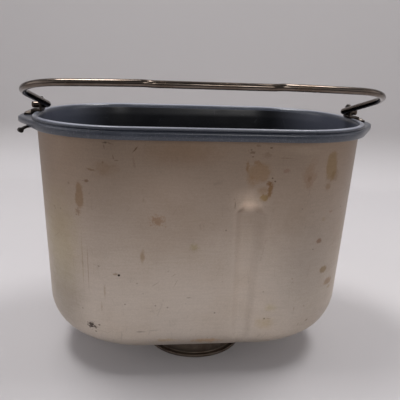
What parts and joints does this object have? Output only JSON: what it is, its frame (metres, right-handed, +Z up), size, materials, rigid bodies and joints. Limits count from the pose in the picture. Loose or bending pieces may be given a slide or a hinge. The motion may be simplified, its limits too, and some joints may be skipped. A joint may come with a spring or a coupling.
{
  "type": "bread machine pan",
  "caption": "Removable baking pan of a bread machine: deep drawn coated pan with a folded rim, wire bail on riveted brackets, bayonet foot ring, bottom drive and kneading paddle.",
  "frame": {"origin": "Centre of the foot ring, on the surface the pan stands on", "axes": "+X along the pan's long side, +Y across it, +Z up"},
  "size_m": [0.2084, 0.1242, 0.1691],
  "materials": {
    "pan_aluminium": "bare matte aluminium outside, baked brown in places; grey speckled coating inside and on the rim",
    "bracket_steel": "stainless sheet, tarnished brown",
    "wire_steel": "bright drawn stainless wire",
    "foot_steel": "pressed steel, dulled by heat",
    "tongue_steel": "dark sheet, soot brown",
    "rivet_aluminium": "matte rivet heads",
    "housing_cast": "die-cast, fine grain",
    "bush_bronze": "sintered bronze",
    "seal_rubber": "black heat-proof rubber",
    "shaft_steel": "ground stainless",
    "clip_steel": "blued spring steel",
    "coupling_cast": "sintered steel, oiled",
    "paddle_coated": "die-cast with the pan's grey non-stick coating"
  },
  "bodies": {
    "pan": {"pan_shell": "pan_aluminium", "left_bracket": "bracket_steel", "right_bracket": "bracket_steel", "left_bracket_rivets": "rivet_aluminium", "right_bracket_rivets": "rivet_aluminium", "under_ear_tongue": "tongue_steel", "foot_ring": "foot_steel", "foot_ring_rivets": "rivet_aluminium", "bearing_housing": "housing_cast", "housing_rivets": "rivet_aluminium", "lower_bush": "bush_bronze", "upper_bush": "bush_bronze", "shaft_seal": "seal_rubber", "seal_cap": "housing_cast"},
    "bail": {"bail_handle": "wire_steel"},
    "drive": {"drive_shaft": "shaft_steel", "thrust_washer": "bush_bronze", "shaft_clip": "clip_steel", "drive_coupling": "coupling_cast", "coupling_pin": "clip_steel"},
    "paddle": {"kneading_paddle": "paddle_coated"}
  },
  "joints": [
    {"name": "bail_swing", "type": "hinge", "parent": "pan", "child": "bail", "pos_m": [0, 0, 0.1506], "axis": [-1, 0, 0], "range_deg": [-15, 165]},
    {"name": "drive_spin", "type": "hinge", "parent": "pan", "child": "drive", "pos_m": [0, 0, 0.01], "axis": [0, 0, 1], "continuous": true},
    {"name": "paddle_lift", "type": "slide", "parent": "drive", "child": "paddle", "axis": [0, 0, 1], "range_m": [0, 0.16]}
  ]
}
